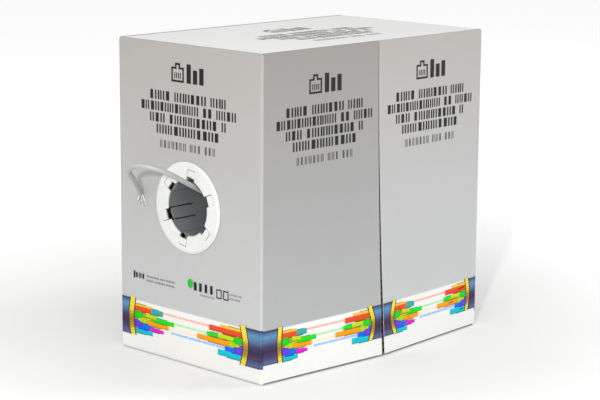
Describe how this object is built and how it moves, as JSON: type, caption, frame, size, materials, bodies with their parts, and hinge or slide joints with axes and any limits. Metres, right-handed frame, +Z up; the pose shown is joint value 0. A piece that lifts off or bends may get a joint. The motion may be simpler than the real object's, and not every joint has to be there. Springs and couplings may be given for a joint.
{
  "type": "network cable pull box",
  "caption": "Printed corrugated carton with a wound coil of network cable inside, drawn out through a round payout tube in the end wall; both wide sides close with folding flaps.",
  "frame": {"origin": "middle of the carton's base, on the surface that it stands on", "axes": "+Z up; -Y out of the payout wall; +X out of the side whose flaps meet at the open seam"},
  "size_m": [0.2354, 0.4208, 0.35],
  "materials": {
    "board": "matte",
    "flange": "satin",
    "tube": "satin",
    "jacket": "satin",
    "blue_pair": "satin",
    "orange_pair": "satin",
    "brown_pair": "satin",
    "green_pair": "satin",
    "filler": "matte",
    "rip_cord": "matte"
  },
  "bodies": {
    "root": {"front_wall": "board", "rear_wall": "board", "top_wall": "board", "bottom_wall": "board", "glue_lap": "board", "cable_coil": "jacket", "coil_lead": "jacket", "cable_tail": "jacket", "pair_blue": "blue_pair", "pair_orange": "orange_pair", "pair_brown": "brown_pair", "pair_green": "green_pair", "rip_cord": "rip_cord", "cross_filler": "filler"},
    "payout": {"payout_flange": "flange", "payout_tube": "tube", "snap_tabs": "tube"},
    "right_front_flap": {"right_front_flap": "board"},
    "right_rear_flap": {"right_rear_flap": "board"},
    "right_upper_flap": {"right_upper_flap": "board"},
    "right_lower_flap": {"right_lower_flap": "board"},
    "left_front_flap": {"left_front_flap": "board"},
    "left_rear_flap": {"left_rear_flap": "board"},
    "left_upper_flap": {"left_upper_flap": "board"},
    "left_lower_flap": {"left_lower_flap": "board"}
  },
  "joints": [
    {"name": "right_front_swing", "type": "hinge", "parent": "root", "child": "right_front_flap", "pos_m": [0.111, -0.1785, 0.175], "axis": [0, 0, -1], "range_deg": [0, 160]},
    {"name": "right_rear_swing", "type": "hinge", "parent": "root", "child": "right_rear_flap", "pos_m": [0.111, 0.1785, 0.175], "axis": [0, 0, 1], "range_deg": [0, 160]},
    {"name": "right_upper_swing", "type": "hinge", "parent": "root", "child": "right_upper_flap", "pos_m": [0.1068, 0, 0.35], "axis": [0, -1, 0], "range_deg": [0, 80]},
    {"name": "right_lower_swing", "type": "hinge", "parent": "root", "child": "right_lower_flap", "pos_m": [0.1068, 0, 0], "axis": [0, 1, 0], "range_deg": [0, 80]},
    {"name": "left_front_swing", "type": "hinge", "parent": "root", "child": "left_front_flap", "pos_m": [-0.111, -0.1785, 0.175], "axis": [0, 0, 1], "range_deg": [0, 160]},
    {"name": "left_rear_swing", "type": "hinge", "parent": "root", "child": "left_rear_flap", "pos_m": [-0.111, 0.1785, 0.175], "axis": [0, 0, -1], "range_deg": [0, 160]},
    {"name": "left_upper_swing", "type": "hinge", "parent": "root", "child": "left_upper_flap", "pos_m": [-0.1068, 0, 0.35], "axis": [0, 1, 0], "range_deg": [0, 80]},
    {"name": "left_lower_swing", "type": "hinge", "parent": "root", "child": "left_lower_flap", "pos_m": [-0.1068, 0, 0], "axis": [0, -1, 0], "range_deg": [0, 80]},
    {"name": "payout_turn", "type": "hinge", "parent": "root", "child": "payout", "pos_m": [0, -0.1785, 0.175], "axis": [0, -1, 0], "continuous": true}
  ],
  "couplings": [
    {"joint": "right_rear_swing", "follows": "right_front_swing", "ratio": 1},
    {"joint": "right_upper_swing", "follows": "right_front_swing", "ratio": 0.5},
    {"joint": "right_lower_swing", "follows": "right_front_swing", "ratio": 0.5},
    {"joint": "left_rear_swing", "follows": "left_front_swing", "ratio": 1},
    {"joint": "left_upper_swing", "follows": "left_front_swing", "ratio": 0.5},
    {"joint": "left_lower_swing", "follows": "left_front_swing", "ratio": 0.5}
  ]
}
